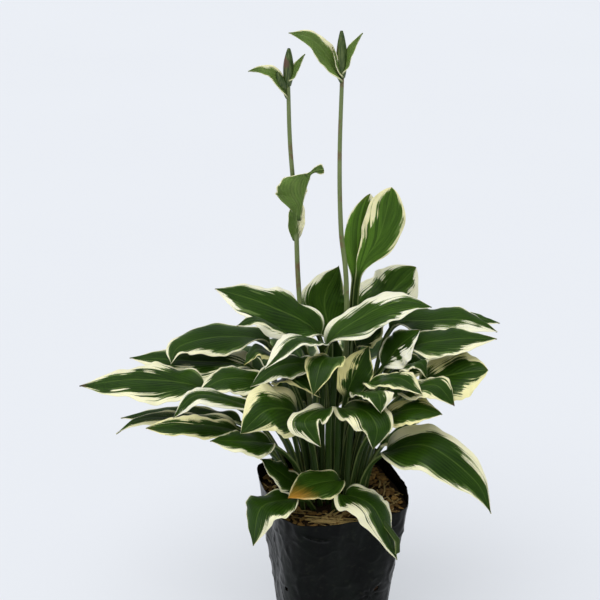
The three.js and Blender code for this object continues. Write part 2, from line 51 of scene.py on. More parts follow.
RIM_WAVE = 0.0016
MOUTH_SHIFT = 0.002
FILM_THICK = 0.0006
FILM_INSET = 0.0012  # how far the film is drawn in to leave room for its folds
FILM_FACES_AROUND = 240
FILM_FACES_UP = 150
BASE_SHARE = 0.14  # the share of those rows that lies under the bag
BASE_RISE = 0.0004
DENT_DEEP = 0.0016
CREASES_DEEP = (0.0010, 0.0007)
PULL_DEEP = 0.0008
CRINKLE_DEEP = 0.0005
STAR_FOLD = (0.045, 0.070)  # X and Z of its middle
STAR_RAYS = 7
STAR_DEEP = 0.0016
STAR_REACH = 0.014
BOW_END = (-0.005, 0.152)  # X and Z of the bowed crease's right end
BOW_LONG = 0.030
BOW_BEND = 10
BOW_HIGH = 0.0028
BOW_WIDE = 0.0017
BOW_FADE = 0.004
DRAIN_RADIUS = 0.003
DRAIN_ROWS = (0.038, 0.076)
DRAINS_A_ROW = 4
DRAIN_RING = (0.2, 1.25)  # points between these shares of the radius are pulled onto a hole's edge
SAME_PLACE = 0.00002  # points nearer than this are merged


def between(low, high, share):
    return low + (high - low) * share


def ease(value, low, high):
    share = min(max((value - low) / (high - low), 0.0), 1.0)
    return share * share * (3 - 2 * share)


def flat_grid(name, columns, rows):
    """A flat sheet of square faces, to be shaped point by point; it returns the piece."""
    bpy.ops.object.select_all(action="DESELECT")
    bpy.ops.mesh.primitive_grid_add(x_subdivisions=columns, y_subdivisions=rows, size=1)
    piece = bpy.context.object
    piece.name = name
    piece.data.name = name
    return piece


def pick(*pieces):
    """Selects these pieces alone and works on the first."""
    bpy.ops.object.select_all(action="DESELECT")
    for piece in pieces:
        piece.select_set(True)
    bpy.context.view_layer.objects.active = pieces[0]


def apply_modifiers(piece):
    pick(piece)
    for modifier in list(piece.modifiers):
        bpy.ops.object.modifier_apply(modifier=modifier.name)


def smooth(piece, degrees):
    pick(piece)
    bpy.ops.object.shade_smooth_by_angle(angle=math.radians(degrees))


def weld(piece, distance):
    """Merges points that coincide and turns every face outwards."""
    pick(piece)
    bpy.ops.object.mode_set(mode="EDIT")
    bpy.ops.mesh.select_all(action="SELECT")
    bpy.ops.mesh.remove_doubles(threshold=distance)
    bpy.ops.mesh.normals_make_consistent(inside=False)
    bpy.ops.object.mode_set(mode="OBJECT")


def bag_reach(share, angle):
    """From the bag's axis to its film: nearly round at the base, square with round corners at the rim."""
    half = between(*BAG_HALF, share)
    power = between(*BAG_POWER, share)
    square = (abs(math.cos(angle)) ** power + abs(math.sin(angle)) ** power) ** (-1 / power)
    high, low = BAG_WOBBLE
    wobble = high * share * math.sin(7 * angle + 2) + low * math.sin(5 * angle - 9 * share)
    return half * square * (1 + wobble)


def front_folds(x, z):
    """The two folds that stand out on the bag's front: a bowed crease under the rim, and a star."""
    star_x, star_z = x - STAR_FOLD[0], z - STAR_FOLD[1]
    away = math.hypot(star_x, star_z) / STAR_REACH
    rays = abs(math.sin(STAR_RAYS * 0.5 * math.atan2(star_z, star_x) + 0.6))
    star = STAR_DEEP * (1 - rays) ** 2 * math.exp(-away * away)
    left_of = BOW_END[0] - x
    apart = (z - BOW_END[1] - BOW_BEND * left_of ** 2) / BOW_WIDE
    along = ease(left_of, -BOW_FADE, BOW_FADE) * (1 - ease(left_of, BOW_LONG - 1.5 * BOW_FADE, BOW_LONG))
    return BOW_HIGH * along * math.exp(-apart * apart) - star


def film_folds(share, angle, x, y, z):
    """How far the film lies in or out of its plain form: dents, sharp creases and pulls at the rim."""
    dents = DENT_DEEP * noise.noise(Vector((x * 22, y * 22, z * 9)))
    crease = 1 - abs(noise.noise(Vector((x * 30 + 4, y * 30, z * 16)))) * 5
    cross = 1 - abs(noise.noise(Vector((x * 44, y * 44 + 9, z * 34)))) * 6
    sharp = CREASES_DEEP[0] * max(crease, 0) ** 2 + CREASES_DEEP[1] * max(cross, 0) ** 2
    sway = 5 * noise.noise(Vector((x * 22, y * 22, 0)))
    pull = PULL_DEEP * ease(share, 0.6, 1) * math.sin(11 * angle + sway)
    crinkle = CRINKLE_DEEP * noise.noise(Vector((x * 140, y * 140, z * 90)))
    return dents + sharp + pull + crinkle + (front_folds(x, z) if y < 0 else 0)


film = flat_grid("film_bag", FILM_FACES_AROUND, FILM_FACES_UP)
for vertex in film.data.vertices:
    around, up = vertex.co.x + 0.5, vertex.co.y + 0.5
    angle = around * 2 * math.pi
    turned = angle + BAG_TURN
    if up < BASE_SHARE:
        out = bag_reach(0, angle) * up / BASE_SHARE
        x, y = out * math.cos(turned), out * math.sin(turned)
        vertex.co = (x, y, BASE_RISE * (1 - up / BASE_SHARE))
        continue
    share = (up - BASE_SHARE) / (1 - BASE_SHARE)
    reach = bag_reach(share, angle)
    x = reach * math.cos(turned) + MOUTH_SHIFT * share
    y = reach * math.sin(turned)
    z = RIM_HEIGHT * share + RIM_LEAN * y * share ** 3
    fold = film_folds(share, angle, x, y, z) * ease(share, 0, 0.12) - FILM_INSET * ease(share, 0, 0.1)
    rim = RIM_WAVE * noise.noise(Vector((x * 16, y * 16, 7))) * ease(share, 0.8, 1)
    vertex.co = (x + fold * math.cos(turned), y + fold * math.sin(turned), z + rim)
weld(film, SAME_PLACE)

bpy.ops.object.mode_set(mode="EDIT")
bpy.ops.mesh.select_all(action="DESELECT")
bpy.ops.object.mode_set(mode="OBJECT")
drains = []
for row, height in enumerate(DRAIN_ROWS):
    for hole in range(DRAINS_A_ROW):
        angle = (hole + row / 2) / DRAINS_A_ROW * 2 * math.pi
        drains.append((Vector((math.cos(angle), math.sin(angle), 0)), height))
for polygon in film.data.polygons:
    for way, height in drains:
        side = polygon.center.cross(Vector((0, 0, 1))).dot(way)
        if polygon.center.dot(way) > 0 and math.hypot(side, polygon.center.z - height) < DRAIN_RADIUS:
            polygon.select = True
bpy.ops.object.mode_set(mode="EDIT")
bpy.ops.mesh.delete(type="FACE")
bpy.ops.object.mode_set(mode="OBJECT")
for vertex in film.data.vertices:
    for way, height in drains:
        across = Vector((-way.y, way.x, 0))
        side, rise = vertex.co.dot(across), vertex.co.z - height
        apart = math.hypot(side, rise)
        if vertex.co.dot(way) > 0 and DRAIN_RING[0] < apart / DRAIN_RADIUS < DRAIN_RING[1]:
            push = DRAIN_RADIUS / apart - 1
            vertex.co += across * side * push + Vector((0, 0, rise * push))
wall = film.modifiers.new("film", "SOLIDIFY")
wall.thickness = FILM_THICK
wall.offset = -1
apply_modifiers(film)
smooth(film, 40)


def shade(red, green, blue):
    """A colour as the eye sees it, from 0 to 255, turned into the amounts of light that paints take."""
    return tuple((part / 255) ** 2.2 for part in (red, green, blue)) + (1,)


def new_paint(name, roughness, specular):
    """Opens a paint. The functions below add to the one that was opened last."""
    global mixing
    paint = bpy.data.materials.new(name)
    paint.use_nodes = True
    mixing = paint.node_tree
    shader = mixing.nodes["Principled BSDF"]
    shader.inputs["Roughness"].default_value = roughness
    shader.inputs["Specular IOR Level"].default_value = specular
    return paint


def node(kind, inputs=None, **settings):
    """Adds a node, sets its options, and fills or joins its sockets."""
    made = mixing.nodes.new("ShaderNode" + kind)
    for setting, value in settings.items():
        setattr(made, setting, value)
    for socket, value in (inputs or {}).items():
        if isinstance(value, bpy.types.NodeSocket):
            mixing.links.new(value, made.inputs[socket])
        else:
            made.inputs[socket].default_value = value
    return made


def maths(operation, first, second=0.0, third=0.0):
    return node("Math", {0: first, 1: second, 2: third}, operation=operation).outputs[0]


def times(value, factor):
    return maths("MULTIPLY", value, factor)


def mask(value, low, high):
    """0 below low, 1 above high and smooth between."""
    return node("MapRange", {0: value, 1: low, 2: high}, interpolation_type="SMOOTHSTEP").outputs[0]


def mixed(share, first, second):
    """The first colour where share is 0, the second where it is 1."""
    return node("Mix", {0: share, 6: first, 7: second}, data_type="RGBA").outputs[2]


def here():
    return node("TexCoord").outputs["Object"]


def stretched(place, x, y, z):
    return node("Mapping", {"Vector": place, "Scale": (x, y, z)}).outputs[0]


def grain(place, scale, detail=2.0, roughness=0.5):
    sockets = {"Vector": place, "Scale": scale, "Detail": detail, "Roughness": roughness}
    return node("TexNoise", sockets).outputs["Fac"]


def finish_paint(colour, roughness=None, height=None, depth=0.0002, strength=1.0):
    """Joins what was worked out to the shader: its colour, gloss and fine relief."""
    shader = mixing.nodes["Principled BSDF"]
    mixing.links.new(colour, shader.inputs["Base Color"])
    if roughness is not None:
        mixing.links.new(roughness, shader.inputs["Roughness"])
    if height is not None:
        relief = node("Bump", {"Height": height, "Distance": depth, "Strength": strength})
        mixing.links.new(relief.outputs[0], shader.inputs["Normal"])


film_paint = new_paint("black_film", roughness=0.3, specular=0.09)
place = here()
upright = stretched(place, 1, 1, 0.35)
dust = mask(grain(upright, 34, detail=5, roughness=0.6), 0.42, 0.72)
scuffs = times(mask(grain(place, 160, detail=3), 0.55, 0.75), 0.16)
film_colour = mixed(dust, shade(5, 9, 7), shade(17, 22, 18))
film_colour = mixed(scuffs, film_colour, shade(56, 58, 46))
film_gloss = maths("MULTIPLY_ADD", dust, 0.2, 0.28)
finish_paint(film_colour, film_gloss, grain(place, 420, detail=3), depth=0.0003, strength=0.5)
film.data.materials.append(film_paint)
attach(film, "root")
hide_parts("bag")

# ---- The potting mix ----
# Peat, coir and fine bark, firmed round the crown and filled up to just under the bag's rim.
# It takes the bag's form and holds the foot of every stalk.
MIX_TOP = 0.170
MIX_LEAN = 0.05
MIX_LUMPS = 0.0008
MIX_LEVEL_TO = (0.054, 0.064)  # level round the crown, leaning and lumpy from here outwards
MIX_COARSE = 0.0016
MIX_FINE = 0.0009
MIX_SUNK = 0.0006
MIX_BOTTOM = 0.0022
MIX_INSET = 0.0030
MIX_FACES_AROUND = 160
MIX_ROWS_BELOW = 40
MIX_ROWS_ABOVE = 70


def mix_height(x, y):
    lumps = math.sin(x * 111 + 1) * math.cos(y * 91) + 0.6 * math.sin(x * 59 - y * 77)
    return MIX_TOP + (MIX_LEAN * y + MIX_LUMPS * lumps) * ease(math.hypot(x, y), *MIX_LEVEL_TO)


mix = flat_grid("mix_in_bag", MIX_FACES_AROUND, MIX_ROWS_BELOW + MIX_ROWS_ABOVE)
full = MIX_TOP / RIM_HEIGHT
for vertex in mix.data.vertices:
    around = vertex.co.x + 0.5
    row = round((vertex.co.y + 0.5) * (MIX_ROWS_BELOW + MIX_ROWS_ABOVE))
    turned = around * 2 * math.pi + BAG_TURN
    up = min(row / MIX_ROWS_BELOW, 1)
    share = full * up
    out = (bag_reach(share, around * 2 * math.pi) - MIX_INSET) * min(up / 0.05, 1)
    inwards = max(row - MIX_ROWS_BELOW, 0) / MIX_ROWS_ABOVE
    out *= 1 - inwards
    x, y = out * math.cos(turned) + MOUTH_SHIFT * share, out * math.sin(turned)
    if row < MIX_ROWS_BELOW:
        z = MIX_BOTTOM + share * RIM_HEIGHT + RIM_LEAN * y * share ** 3
        z = min(z, mix_height(x, y) - 0.001)
    else:
        coarse = MIX_COARSE * noise.noise(Vector((x * 150, y * 150, 3)))
        fine = MIX_FINE * noise.noise(Vector((x * 420, y * 420, 8)))
        z = mix_height(x, y) + (coarse + fine) * ease(inwards, 0, 0.08) - MIX_SUNK
    vertex.co = (x, y, z)
weld(mix, SAME_PLACE)
smooth(mix, 60)

mix_paint = new_paint("peat_and_bark", roughness=0.95, specular=0.25)
place = here()
crumbs = node("TexVoronoi", {"Vector": place, "Scale": 380}).outputs["Distance"]
tone = grain(place, 900, detail=4, roughness=0.7)
fibres = mask(grain(place, 120, detail=3), 0.55, 0.7)
mix_colour = mixed(tone, shade(26, 19, 13), shade(74, 55, 38))
mix_colour = mixed(fibres, mix_colour, shade(98, 72, 44))
finish_paint(mix_colour, None, maths("ADD", crumbs, tone), depth=0.0012, strength=0.9)
mix.data.materials.append(mix_paint)
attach(mix, "root")
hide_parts("potting_mix")

# ---- The mulch: bark, crumbs and straw ----
# A loose scatter of shredded bark, coir crumbs and dry straw on the mix, thickest along the film.
# The bits are dropped one by one and lie where they fall, so each has its own turn and size.
MULCH_INNER = 0.050
MULCH_SHARE = 0.93  # how far up the bag it lies
MULCH_MARGIN = 0.006
BARK_BITS = 330
BARK_SIZES = (0.0016, 0.0042)
CRUMBS = 900
CRUMB_SIZES = (0.0005, 0.0014)
BIT_LONG = (0.8, 2.2)
BIT_TILT = 0.5
BIT_ROUGH = 0.35
STRAWS = 120
STRAW_LENGTHS = (0.007, 0.034)
STRAW_RADII = (0.0004, 0.0012)
STRAW_LIES = (0.001, 0.004)  # how high its middle lies over the mix
STRAW_FLAT = 0.6
STRAW_SKEW = 0.9  # how far it may turn from lying along the film, in radians
STRAW_TILT = 0.12
STRAW_BEND = 0.1
STRAW_SIDES = 6
STRAW_STEPS = 7
FRONT_STRAW_LIES = 0.0035
FRONT_STRAW_BEND = 0.002
# The front straws are paler: partly pale straw and partly painted light for the light they catch at the
# front.
FRONT_STRAW_PALEST = 0.45
# The long straws that lie in sight at the front: both ends on the mix, and the radius.
FRONT_STRAWS = [
    ((-0.028, -0.062), (0.022, -0.071), 0.0014),
    ((-0.024, -0.067), (0.030, -0.069), 0.0011),
    ((-0.031, -0.057), (0.012, -0.066), 0.0012),
    ((-0.006, -0.066), (0.014, -0.042), 0.0012),
    ((0.000, -0.068), (0.021, -0.044), 0.0010),
    ((-0.012, -0.064), (0.006, -0.040), 0.0013),
    ((-0.020, -0.070), (0.026, -0.074), 0.0009),
    ((-0.030, -0.064), (0.004, -0.073), 0.0013),
    ((-0.014, -0.060), (0.030, -0.064), 0.0012),
    ((0.006, -0.072), (0.016, -0.048), 0.0011),
]
chance = random.Random(7)


def blank_piece(name, corners, faces, shades):
    """A piece from all its bits' corners and faces, with the tone of each bit's corners."""
    mesh = bpy.data.meshes.new(name)
    mesh.from_pydata(corners, [], faces)
    mesh.attributes.new("tone", "FLOAT", "POINT").data.foreach_set("value", shades)
    piece = bpy.data.objects.new(name, mesh)
    bpy.context.scene.collection.objects.link(piece)
    return piece


def primitive_shape(add, **settings):
    """The corners and faces of one of Blender's primitives, which is then cleared away."""
    bpy.ops.object.select_all(action="DESELECT")
    add(**settings)
    made = bpy.context.object
    corners = [vertex.co.copy() for vertex in made.data.vertices]
    faces = [tuple(polygon.vertices) for polygon in made.data.polygons]
    bpy.data.objects.remove(made)
    return corners, faces


def on_mulch():
    """A place on the mix between the crown and the film."""
    angle = chance.random() * 2 * math.pi
    edge = bag_reach(MULCH_SHARE, angle) - MULCH_MARGIN
    out = between(MULCH_INNER, edge, chance.random() ** 0.7)
    return out * math.cos(angle + BAG_TURN), out * math.sin(angle + BAG_TURN), angle + BAG_TURN


def kept_in(place):
    """The same place, or the nearest one inside the film."""
    x = place.x - MOUTH_SHIFT
    reach = bag_reach(MULCH_SHARE, math.atan2(place.y, x) - BAG_TURN) - MIX_INSET
    inwards = min(reach / max(math.hypot(x, place.y), 0.001), 1)
    return Vector((x * inwards + MOUTH_SHIFT, place.y * inwards, place.z))


def scatter(name, count, shape, sizes, flatness, lift):
    """Drops copies of a shape on the mix, each bent out of true in its own way."""
    corners, faces, shades = [], [], []
    for _ in range(count):
        x, y, _ = on_mulch()
        size = between(*sizes, chance.random() ** 2)
        long = between(*BIT_LONG, chance.random())
        spin = Matrix.Rotation(chance.random() * 6.28, 3, "Z")
        turn = spin @ Matrix.Rotation(between(-BIT_TILT, BIT_TILT, chance.random()), 3, "X")
        first = len(corners)
        tone = chance.random()
        z = mix_height(x, y) + lift + size * between(0, 0.8, chance.random())
        for corner in shape[0]:
            rough = 1 + BIT_ROUGH * noise.noise(corner * 3 + Vector((first, 0, 0)))
            bit = Vector((corner.x * long, corner.y * 0.8, corner.z * flatness)) * size * rough
            corners.append(kept_in(turn @ bit + Vector((x, y, z))))
            shades.append(tone)
        faces += [tuple(first + corner for corner in face) for face in shape[1]]
    return blank_piece(name, corners, faces, shades)


def drop_straw(corners, faces, shades, start, end, radius, bow, palest=0.0):
    """Adds one straw: a bent, slightly flattened rod with cut ends."""
    start, end = kept_in(start), kept_in(end)
    along = end - start
    side = along.cross(Vector((0, 0, 1))).normalized()
    up = side.cross(along).normalized()
    first = len(corners)
    tone = between(palest, 1, chance.random())
    for step in range(STRAW_STEPS + 1):
        share = step / STRAW_STEPS
        middle = start + along * share + (side * bow + up * bow * 0.4) * math.sin(math.pi * share)
        for corner in range(STRAW_SIDES):
            angle = corner / STRAW_SIDES * 2 * math.pi
            rim = side * radius * math.cos(angle) + up * radius * STRAW_FLAT * math.sin(angle)
            corners.append(kept_in(middle + rim))
            shades.append(tone)
    for step in range(STRAW_STEPS):
        for corner in range(STRAW_SIDES):
            low, after = first + step * STRAW_SIDES, (corner + 1) % STRAW_SIDES
            faces.append((low + corner, low + after, low + STRAW_SIDES + after, low + STRAW_SIDES + corner))
    last = first + STRAW_STEPS * STRAW_SIDES
    faces.append(tuple(first + corner for corner in reversed(range(STRAW_SIDES))))
    faces.append(tuple(last + corner for corner in range(STRAW_SIDES)))


bark_shape = primitive_shape(bpy.ops.mesh.primitive_ico_sphere_add, subdivisions=2, radius=1)
crumb_shape = primitive_shape(bpy.ops.mesh.primitive_ico_sphere_add, subdivisions=1, radius=1)
bark = scatter("bark_bits", BARK_BITS, bark_shape, BARK_SIZES, 0.35, 0.0004)
crumb = scatter("peat_crumbs", CRUMBS, crumb_shape, CRUMB_SIZES, 0.8, 0.0001)
corners, faces, shades = [], [], []
for (x, y), (far_x, far_y), radius in FRONT_STRAWS:
    start = Vector((x, y, mix_height(x, y) + FRONT_STRAW_LIES))
    end = Vector((far_x, far_y, mix_height(far_x, far_y) + FRONT_STRAW_LIES))
    bow = between(-FRONT_STRAW_BEND, FRONT_STRAW_BEND, chance.random())
    drop_straw(corners, faces, shades, start, end, radius, bow, FRONT_STRAW_PALEST)
for _ in range(STRAWS):
    x, y, angle = on_mulch()
    length = between(*STRAW_LENGTHS, chance.random() ** 2)
    way = angle + math.pi / 2 + between(-STRAW_SKEW, STRAW_SKEW, chance.random())
    rise = between(-STRAW_TILT, STRAW_TILT, chance.random())
    along = Vector((math.cos(way), math.sin(way), rise)) * length / 2
    middle = Vector((x, y, mix_height(x, y) + between(*STRAW_LIES, chance.random())))
    radius = between(*STRAW_RADII, chance.random())
    bow = length * between(-STRAW_BEND, STRAW_BEND, chance.random())
    drop_straw(corners, faces, shades, middle - along, middle + along, radius, bow)
straw = blank_piece("straws", corners, faces, shades)


def mulch_paint(name, dark, light, scale):
    """Dry and matt, most bits dark and a few of them pale."""
    paint = new_paint(name, roughness=0.85, specular=0.3)
    tone = node("Attribute", attribute_name="tone").outputs["Fac"]
    streak = grain(here(), scale, detail=4, roughness=0.65)
    colour = mixed(times(maths("ADD", maths("POWER", tone, 1.8), streak), 0.58), dark, light)
    finish_paint(colour, None, streak, depth=0.0006, strength=0.8)
    return paint


for piece, paint, turn_smooth in (
    (bark, mulch_paint("shredded_bark", shade(38, 28, 13), shade(186, 142, 80), 500), 45),
    (crumb, mulch_paint("coir_crumbs", shade(22, 17, 10), shade(118, 90, 52), 700), 30),
    (straw, mulch_paint("dry_straw", shade(92, 72, 38), shade(222, 190, 124), 420), 40),
):
    piece.data.materials.append(paint)
    smooth(piece, turn_smooth)
    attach(piece, "root")
    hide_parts("mulch")

# ---- Leaves: how each one is shaped and painted ----
# Every leaf is one piece: a channelled stalk that widens into a pointed blade, with sunken veins that
# run from its base to its tip. A mutant outer layer leaves the margin without green, so it is cream.
MM = 0.001
LEAF_FACES_ACROSS = 56
STALK_ROWS = 14
STALK_SPANS = 2  # a stalk is the first two stretches of its leaf's curve
BLADE_ROWS = 54
HOLE_DEPTH = 0.014
STALK_HALF = 0.0034
STALK_THICK = 0.0030
STALK_FOLD = math.radians(40)
STALK_SWING = (0.36, 0.6)  # where a stalk is at its middle: share of the way out, and up
BLADE_SHEET = 0.0008
BLADE_BLEND = 0.22  # the share of a blade in which the stalk's channel opens out
TIP_SHARE = 0.9985
MARGIN_NIBBLE = 0.035
WAVES = 2.5
FINE_WAVES = 6.5
FINE_WAVE_SHARE = 0.45
VEINS_A_SIDE = 8
VEIN_SPREAD = 0.9
VEIN_DEPTH = 0.00036
FOOT_POINTS = 10
FOOT_OUT = 0.0007
SEAT_STEPS = (17.3, 91.7)  # set apart the chance values of a leaf's halves, and of the leaves


def spline(points, share):
    """A place on the smooth curve through the points, and the way that the curve heads there."""
    spans = len(points) - 1
    reached = min(max(share, 0.0), 1.0) * spans
    span = min(int(reached), spans - 1)
    t = reached - span
    start, end = points[span], points[span + 1]
    before = points[span - 1] if span else start * 2 - end
    after = points[span + 2] if span + 2 <= spans else end * 2 - start
    leave, arrive = (end - before) * 0.5, (after - start) * 0.5
    place = (
        start * (2 * t ** 3 - 3 * t ** 2 + 1) + leave * (t ** 3 - 2 * t ** 2 + t)
        + end * (3 * t ** 2 - 2 * t ** 3) + arrive * (t ** 3 - t ** 2)
    )
    heading = (
        (start - end) * (6 * t ** 2 - 6 * t) + leave * (3 * t ** 2 - 4 * t + 1)
        + arrive * (3 * t ** 2 - 2 * t)
    )
    return place, heading.normalized()


def blade_share(along, base, point):
    """How wide a blade is along its length, as a share of its widest place."""
    widest = base / (base + point)
    return along ** base * (1 - along) ** point / (widest ** base * (1 - widest) ** point)


def vein_place(across, along):
    """Counts veins outwards from the midrib; each leaves it low down and bends along the margin."""
    return VEINS_A_SIDE * (abs(across) - VEIN_SPREAD * along)


def leaf_row(place, heading, along, leaf):
    """One row of points across the leaf from its left margin to its right, each with its thickness."""
    facing = leaf["facing"]
    level = Vector((math.sin(facing), -math.cos(facing), 0))
    normal = level.cross(heading).normalized()
    side = heading.cross(normal).normalized()
    tilt = leaf["roll"] * ease(along, -0.3, 0.3)
    right = side * math.cos(tilt) + normal * math.sin(tilt)
    above = normal * math.cos(tilt) - side * math.sin(tilt)
    blade = ease(along, 0, BLADE_BLEND)
    whim = leaf["whim"]
    spread = 0
    if along > 0:
        spread = leaf["width"] / 2 * blade_share(min(along, TIP_SHARE), leaf["base"], leaf["point"])
    half = math.hypot(spread, STALK_HALF * (1 - ease(along, 0, 0.5)))
    raised = between(STALK_FOLD, leaf["fold"], blade)
    bend = leaf["curl"] * blade
    row = []
    for column in range(LEAF_FACES_ACROSS + 1):
        across = column / LEAF_FACES_ACROSS * 2 - 1
        u = abs(across)
        angle = raised - bend * u
        edge = 1 + MARGIN_NIBBLE * blade * math.sin(17 * along + whim + across) * u
        wave = u * u * math.sin(2 * math.pi * WAVES * along + across * 1.5)
        finer = u ** 4 * math.sin(2 * math.pi * FINE_WAVES * along + whim * 3 + across)
        ripple = leaf["wave"] * blade * (wave + FINE_WAVE_SHARE * finer)
        dip = math.sqrt(u * u + 0.012) - 0.11
        veins = abs(math.sin(math.pi * vein_place(across, along))) ** 0.7 - 0.6
        fade = ease(1 - u, 0, 0.12) * ease(1 - along, 0, 0.15) * ease(u, 0, 0.08)
        relief = VEIN_DEPTH * veins * blade * fade
        seat = between(0.4 * STALK_THICK, BLADE_SHEET / 2, blade)
        out = half * edge * across * math.cos(angle)
        lift = half * (dip * math.sin(angle) + ripple) + relief + seat
        stalk_thick = STALK_THICK * (1 - 0.5 * u * u)
        blade_thick = BLADE_SHEET * (1.9 - 0.9 * ease(u, 0, 0.14))
        row.append((place + right * out + above * lift, across, between(stalk_thick, blade_thick, blade)))
    return row


def share_along(stops, along):
    """Reads a value that is given for a blade's base, middle and tip."""
    if along < 0.5:
        return between(stops[0], stops[1], ease(along, 0, 0.5))
    return between(stops[1], stops[2], ease(along, 0.5, 1))


def grow_sheet(name, rows, leaf, top, under):
    """Makes one closed leaf from its rows of points, with what its paint needs to know at each point."""
    piece = flat_grid(name, LEAF_FACES_ACROSS, len(rows) - 1)
    mesh = piece.data
    points, places, tints, thicks = [], [], [], []
    for along, row in rows:
        for point, across, thick in row:
            cream = share_along(leaf["cream"][0 if across < 0 else 1], max(along, 0)) / 100
            points.extend(point)
            places.extend((across, along, 1 - cream, leaf["whim"]))
            tints.extend((leaf["yellow"], leaf["pale"], leaf["dry"], leaf["amber"]))
            thicks.append(thick / STALK_THICK)
    mesh.vertices.foreach_set("co", points)
    mesh.attributes.new("leaf_place", "FLOAT_COLOR", "POINT").data.foreach_set("color", places)
    mesh.attributes.new("leaf_tint", "FLOAT_COLOR", "POINT").data.foreach_set("color", tints)
    group = piece.vertex_groups.new(name="thickness")
    for index, thick in enumerate(thicks):
        group.add([index], min(thick, 1), "REPLACE")
    mesh.update()
    body = piece.modifiers.new("body", "SOLIDIFY")
    body.thickness = STALK_THICK
    body.offset = -1
    body.vertex_group = "thickness"
    body.material_offset = 1
    apply_modifiers(piece)
    piece.vertex_groups.clear()
    smooth(piece, 60)
    piece.data.materials.append(top)
    piece.data.materials.append(under)
    return piece


